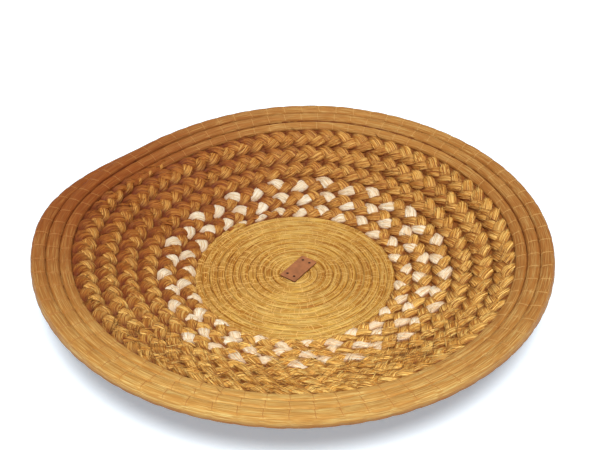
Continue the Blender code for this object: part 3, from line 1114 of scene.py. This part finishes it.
def fill_rows(colours):
    """Lay grass under the rows of the plait and the rim, to close their seams, dark as painted
    shade.
    """
    last = PLAIT_TURNS + RIM_TURNS - 1 - FILLING_FIRST_TURN
    turns = np.linspace(FILLING_FIRST_TURN, last, PLAIT_TURNS * FILLING_SECTIONS_PER_TURN)
    breadth = np.where(turns < PLAIT_TURNS, *FILLING_BREADTHS)[:, None]
    rise = PLAIT_TURNS + np.array(FILLING_RISE_TURNS)
    height = np.interp(turns, rise, FILLING_HEIGHTS)[:, None]
    dark = tuple(colours.filling_shade)
    finish = grass_finish("row filling", dark, dark, tuple(colours.plait_dark), PLAIT_PAINTED_LIGHT)
    make_piece("row_filling", bundle_guide("filling guide", turns, breadth, height),
               "Grass Bundle", "golden_plait", sides=12, unevenness=0.1, grain=2.0,
               squareness=0.3, seed=9, material=finish)


class PlaitWall(bpy.types.Operator):
    """Plait the wall from two golden strands and one that changes from cream to gold"""

    bl_idname = "basket.plait_wall"
    bl_label = "Plaited Wall"

    def execute(self, context):
        weave = context.scene.basket_weave
        colours = context.scene.basket_colours
        # The strands take painted light and shade around the basket; the golden ones also take
        # painted shade on the outer knots on the left
        gold = grass_finish("golden strand", *colours.tones("plait"), PLAIT_PAINTED_LIGHT, knot_shade=0.3)
        cream = grass_finish("cream strand", *colours.tones("cream"), CREAM_PAINTED_LIGHT,
                             lighting_tints=CREAM_LIGHT_AND_SHADE_TINTS, shade=0.55)
        fill_rows(colours)
        stretches = [
            ("golden_strand_first", 1, 0, PLAIT_TURNS, gold, "golden_plait", ["plait_golden"]),
            ("golden_strand_second", 2, 0, PLAIT_TURNS, gold, "golden_plait", []),
            ("cream_strand", 0, 0, CREAM_TURNS, cream, "cream_plait", ["plait_cream"]),
            ("golden_strand_third", 0, CREAM_TURNS, PLAIT_TURNS, gold, "golden_plait", []),
        ]
        path = {label: getattr(weave, label) for label in PATH_INPUTS if label != "strand"}
        for number, (name, strand, first, last, finish, slot, nodes) in enumerate(stretches):
            path["strand"] = float(strand)
            turns = np.linspace(first, last, round((last - first) * weave.strand_points))
            middle, across, up = winding(turns)
            readings = {"across": across, "up": up, "run": travelled(middle),
                        "cycle": plait_cycle(turns, weave), "bias": plait_bias(turns, weave),
                        "steep_share": steep_share(turns)}
            make_piece(name, guide_mesh(name + " guide", middle, **readings),
                       "Plait Strand", slot, *nodes, **path, sides=weave.strand_sides,
                       unevenness=0.09, grain=3.0, seed=number + 1, material=finish)
            make_piece(name + "_blades", guide_mesh(name + " blade guide", middle, **readings),
                       "Grass Blades", slot, **path,
                       blades=round((last - first) * weave.blades_per_turn),
                       reach=3.0, blade_thickness=weave.blade_thickness,
                       flare=weave.blade_flare, stiffness=weave.blade_stiffness,
                       seed=number * 20 + 11, material=finish)
        return {"FINISHED"}


class MakeRimCoil(bpy.types.Operator):
    """Coil the thick sewn bundle of the rim"""

    bl_idname = "basket.make_rim_coil"
    bl_label = "Rim Coil"

    def execute(self, context):
        colours = context.scene.basket_colours
        stitches = context.scene.basket_weave.rim_stitches
        first = PLAIT_TURNS - RIM_OVERLAP
        last = PLAIT_TURNS + RIM_TURNS
        count = round((last - first) * stitches * RIM_SECTIONS_PER_STITCH)
        turns = np.linspace(first, last, count)
        pulled = np.abs(np.sin((turns - PLAIT_TURNS) * stitches * math.pi)) ** STITCH_SHARPNESS
        girth = RIM_GIRTH - STITCH_PULL * pulled[:, None]
        # The rim grass takes a painted sheen and painted shade around the basket, and painted
        # shade on its underside at the near side
        finish = grass_finish("rim grass", *colours.tones("rim"), RIM_PAINTED_LIGHT, lighting_tints=RIM_LIGHT_AND_SHADE_TINTS,
                              contrast=0.15, flank_shade=0.65, flank_shade_from=0.05,
                              shade_underside_near=True)
        make_piece("rim_coil_grass",
                   bundle_guide("rim guide", turns, RIM_BREADTH * girth, girth),
                   "Grass Bundle", "rim_grass", "rim_coil", sides=24, unevenness=0.05,
                   grain=2.0, squareness=0.42, seed=5, material=finish)
        return {"FINISHED"}


class SewCoils(bpy.types.Operator):
    """Sew the rows of the base and of the rim with thread"""

    bl_idname = "basket.sew_coils"
    bl_label = "Sewing Thread"

    def execute(self, context):
        weave = context.scene.basket_weave
        colours = context.scene.basket_colours
        # The rim thread is darkened by painted shade at the near side and on the left
        thread = thread_finish("rim thread", tuple(colours.rim_thread),
                               near_shade_tint=(0.70, 0.52, 0.36), left_shade_tint=(0.64, 0.47, 0.38))
        count = weave.rim_stitches * RIM_TURNS
        middle, across, up = winding(PLAIT_TURNS + (np.arange(count) + 0.5) / weave.rim_stitches)
        aside, high = RIM_STITCH_REACH
        guide = guide_mesh("rim stitch guide", middle, across=across * aside, up=up * high)
        make_piece("rim_stitches", guide, "Coil Stitches", "rim_grass",
                   first_angle=math.radians(32), last_angle=math.radians(152), slant=0.4,
                   squareness=0.42, thread=0.06, looseness=0.15, seed=4, material=thread)
        turns = np.linspace(-BASE_TURNS, 0, round(BASE_TURNS * RULE_POINTS_PER_TURN))
        length = travelled(winding(turns)[0])
        thread = thread_finish("base thread", tuple(colours.base_thread))
        for name, lead, slant, seed in [("base_stitches_leaning_out", 0.004, 1.3, 6),
                                        ("base_stitches_leaning_in", 0.006, -1.3, 7)]:
            stops = np.arange(lead, length[-1], weave.base_stitch_spacing)
            strays = np.random.default_rng(seed).uniform(-STITCH_STRAY, STITCH_STRAY,
                                                         len(stops))
            stops = stops + strays * weave.base_stitch_spacing
            middle, across, up = winding(np.interp(stops, length, turns))
            guide = guide_mesh(name + " guide", middle, across=across, up=up)
            make_piece(name, guide, "Coil Stitches", "base_grass",
                       first_angle=math.radians(25), last_angle=math.radians(155),
                       slant=slant, squareness=0.55, thread=0.065, sides=4, looseness=0.9,
                       seed=seed, material=thread)
        return {"FINISHED"}


def mesh_from(shape, name):
    """A plain mesh from a finished bmesh."""
    mesh = bpy.data.meshes.new(name)
    shape.to_mesh(mesh)
    shape.free()
    return mesh


def tag_plate(thickness):
    """The tag as a plate with rounded corners and soft edges, lying along X."""
    shape = bmesh.new()
    corner_x = TAG_LENGTH / 2 - TAG_CORNER_RADIUS
    corner_y = TAG_WIDTH / 2 - TAG_CORNER_RADIUS
    corners = []
    for quarter, (side_x, side_y) in enumerate([(1, 1), (-1, 1), (-1, -1), (1, -1)]):
        for index in range(TAG_CORNER_STEPS + 1):
            angle = math.pi / 2 * (quarter + index / TAG_CORNER_STEPS)
            corners.append(shape.verts.new((
                side_x * corner_x + TAG_CORNER_RADIUS * math.cos(angle),
                side_y * corner_y + TAG_CORNER_RADIUS * math.sin(angle), 0)))
    face = shape.faces.new(corners)
    raised = bmesh.ops.extrude_face_region(shape, geom=[face])
    top = [entry for entry in raised["geom"] if isinstance(entry, bmesh.types.BMVert)]
    bmesh.ops.translate(shape, verts=top, vec=(0, 0, thickness))
    bmesh.ops.recalc_face_normals(shape, faces=shape.faces)
    rims = [edge for edge in shape.edges if edge.verts[0].co.z == edge.verts[1].co.z]
    bmesh.ops.bevel(shape, geom=rims, offset=thickness * TAG_EDGE_SHARE, segments=3,
                    profile=0.5, affect="EDGES")
    return mesh_from(shape, "tag plate")


def hole_cutter():
    """Four pins that cut the sewing holes of the tag."""
    shape = bmesh.new()
    for side_x in (-1, 1):
        for side_y in (-1, 1):
            bmesh.ops.create_cone(
                shape, cap_ends=True, segments=14, radius1=TAG_HOLE_DIAMETER / 2,
                radius2=TAG_HOLE_DIAMETER / 2, depth=PIN_LENGTH,
                matrix=Matrix.Translation((side_x * HOLE_PLACE[0], side_y * HOLE_PLACE[1], 0)))
    return mesh_from(shape, "hole pins")


def leather_finish(leather, edges, thickness):
    """Leather with pores and clouds; burnt edges with a painted shadow, and painted shade at the
    holes.
    """
    material, bench, shader = new_finish("tag leather")
    own = bench.attribute("hide", "Vector")
    pores = bench.noise(own, PORES_PER_METRE, 3)
    clouds = bench.noise(own, CLOUDS_PER_METRE)
    # Painted shade around the sewing holes, and at the foot of the edges a dark band that is
    # partly burnt leather and partly a painted shadow
    from_hole = bench.length((bench.maths("ABSOLUTE", own) - HOLE_PLACE) * (1, 1, 0))
    shaded_hole = bench.spread(from_hole, *HOLE_SHADE)
    top, foot = EDGE_BURN_AND_SHADOW_HEIGHTS
    burnt_and_shaded_edge = bench.spread(bench.parts(own).out("Z"), thickness * top, thickness * foot,
                           0, EDGE_BURN_AND_SHADOW)
    colour = bench.mixed(bench.spread(clouds, *PALE_CLOUDS),
                         tinted(leather, [WORN_SHARE] * 3), leather)
    for darkened in (shaded_hole, burnt_and_shaded_edge):
        colour = bench.mixed(darkened, colour, edges)
    bench.plug(shader, "Base Color", colour)
    smooth, porous = LEATHER_ROUGHNESS
    bench.plug(shader, "Roughness", smooth + pores * porous)
    bench.plug(shader, "Normal", bench.bump(pores, PORE_RELIEF))
    return material


class StitchTag(bpy.types.Operator):
    """Cut the leather tag with its four sewing holes"""

    bl_idname = "basket.stitch_tag"
    bl_label = "Leather Tag"

    def execute(self, context):
        colours = context.scene.basket_colours
        thickness = TAG_HIGH.z - TAG_LOW.z
        material = leather_finish(tuple(colours.leather), tuple(colours.leather_edges),
                                  thickness)
        pins = bpy.data.objects.new("hole pins", hole_cutter())
        tag = bpy.data.objects.new("leather_tag_plate", tag_plate(thickness))
        for item in (pins, tag):
            context.scene.collection.objects.link(item)
        cut = tag.modifiers.new("holes", "BOOLEAN")
        cut.object = pins
        cut.operation = "DIFFERENCE"
        cut.solver = "EXACT"
        depsgraph = context.evaluated_depsgraph_get()
        mesh = bpy.data.meshes.new_from_object(tag.evaluated_get(depsgraph))
        tag.modifiers.clear()
        tag.data = mesh
        bpy.data.objects.remove(pins)
        places = np.empty(len(mesh.vertices) * 3, np.float32)
        mesh.vertices.foreach_get("co", places)
        mesh.attributes.new("hide", "FLOAT_VECTOR", "POINT").data.foreach_set("vector", places)
        mesh.transform(Matrix.Translation(BASE_CENTRE + TAG_PLACE + Vector((0, 0, TAG_LOW.z)))
                       @ Matrix.Rotation(TAG_ANGLE, 4, "Z"))
        mesh.materials.clear()
        mesh.materials.append(material)
        hand_over(tag, "tag_leather", "leather_tag", "tag_stitch_near", "tag_stitch_far")
        return {"FINISHED"}


def towards(angle, height):
    """A direction at an angle in plan, anticlockwise from +X, and at a height."""
    return Vector((math.cos(angle) * math.cos(height), math.sin(angle) * math.cos(height),
                   math.sin(height)))


def stand(scene, name, data, direction, target, distance):
    """Stand a lamp or camera off a target, facing it."""
    item = bpy.data.objects.new(name, data)
    item.rotation_euler = direction.to_track_quat("Z", "Y").to_euler()
    item.location = target + direction * distance
    scene.collection.objects.link(item)
    return item


class SetStudio(bpy.types.Operator):
    """Set up the pale floor, the soft light and the camera"""

    bl_idname = "basket.set_studio"
    bl_label = "Studio"

    def execute(self, context):
        scene = context.scene
        studio = scene.basket_studio
        shape = bmesh.new()
        bmesh.ops.create_grid(shape, x_segments=1, y_segments=1, size=studio.floor_size / 2)
        floor = bpy.data.objects.new("floor", mesh_from(shape, "floor"))
        scene.collection.objects.link(floor)
        material, bench, shader = new_finish("floor paper")
        bench.plug(shader, "Base Color", tuple(studio.floor_colour))
        shader.inputs["Roughness"].default_value = FLOOR_ROUGHNESS
        shader.inputs["Specular IOR Level"].default_value = 0
        rays = bench.add("ShaderNodeLightPath")
        lit = (rays.out("Is Camera Ray") + rays.out("Is Glossy Ray")
               + rays.out("Is Transmission Ray"))
        glow = bench.add("ShaderNodeEmission", {},
                         {"Color": tuple(studio.glow_colour),
                          "Strength": lit * studio.floor_glow})
        both = bench.add("ShaderNodeAddShader", {}, {0: Wire(bench, shader.outputs[0]), 1: glow})
        bench.plug(material.node_tree.nodes["Material Output"], "Surface", both)
        floor.data.materials.append(material)

        world = bpy.data.worlds.new("daylight")
        world.use_nodes = True
        sky = world.node_tree.nodes["Background"]
        sky.inputs["Color"].default_value = (1, 1, 1, 1)
        sky.inputs["Strength"].default_value = studio.daylight
        scene.world = world
        lamp = bpy.data.lights.new("key", "SUN")
        lamp.energy = studio.key_strength
        lamp.angle = studio.key_softness
        stand(scene, "key", lamp, towards(studio.key_side, studio.key_height),
              Vector((0, 0, 0)), LAMP_DISTANCE)

        lens = bpy.data.cameras.new("camera")
        lens.lens = studio.camera_lens
        lens.sensor_width = SENSOR_WIDTH
        lens.clip_start = NEAREST_SEEN
        back = Vector((0, -math.cos(studio.camera_elevation), math.sin(studio.camera_elevation)))
        target = BASE_CENTRE + Vector((studio.look_aside, studio.look_beyond, 0))
        scene.camera = stand(scene, "camera", lens, back, target, studio.camera_distance)
        scene.view_settings.view_transform = "Standard"
        return {"FINISHED"}


class BasketPanel(bpy.types.Panel):
    """Everything that makes the basket, in working order"""

    bl_idname = "VIEW3D_PT_basket"
    bl_label = "Golden Grass Basket"
    bl_space_type = "VIEW_3D"
    bl_region_type = "UI"
    bl_category = "Basket"

    def draw(self, context):
        for operator in OPERATORS:
            self.layout.operator(operator.bl_idname)
        for label in GROUPS:
            group = getattr(context.scene, label)
            box = self.layout.box()
            for setting in group.bl_rna.properties.keys():
                if setting not in ("rna_type", "name"):
                    box.prop(group, setting)


OPERATORS = [MakeBaseCoil, PlaitWall, MakeRimCoil, SewCoils, StitchTag, SetStudio]
GROUPS = {"basket_weave": BasketWeave, "basket_colours": BasketColours,
          "basket_studio": BasketStudio}
CLASSES = [*GROUPS.values(), *OPERATORS, BasketPanel]


def register():
    for entry in CLASSES:
        bpy.utils.register_class(entry)
    for label, group in GROUPS.items():
        setattr(bpy.types.Scene, label, bpy.props.PointerProperty(type=group))


def unregister():
    for label in GROUPS:
        delattr(bpy.types.Scene, label)
    for entry in reversed(CLASSES):
        bpy.utils.unregister_class(entry)


def main():
    register()
    bpy.ops.basket.make_base_coil()
    bpy.ops.basket.plait_wall()
    bpy.ops.basket.make_rim_coil()
    bpy.ops.basket.sew_coils()
    bpy.ops.basket.stitch_tag()
    bpy.ops.basket.set_studio()


if __name__ == "__main__":
    main()
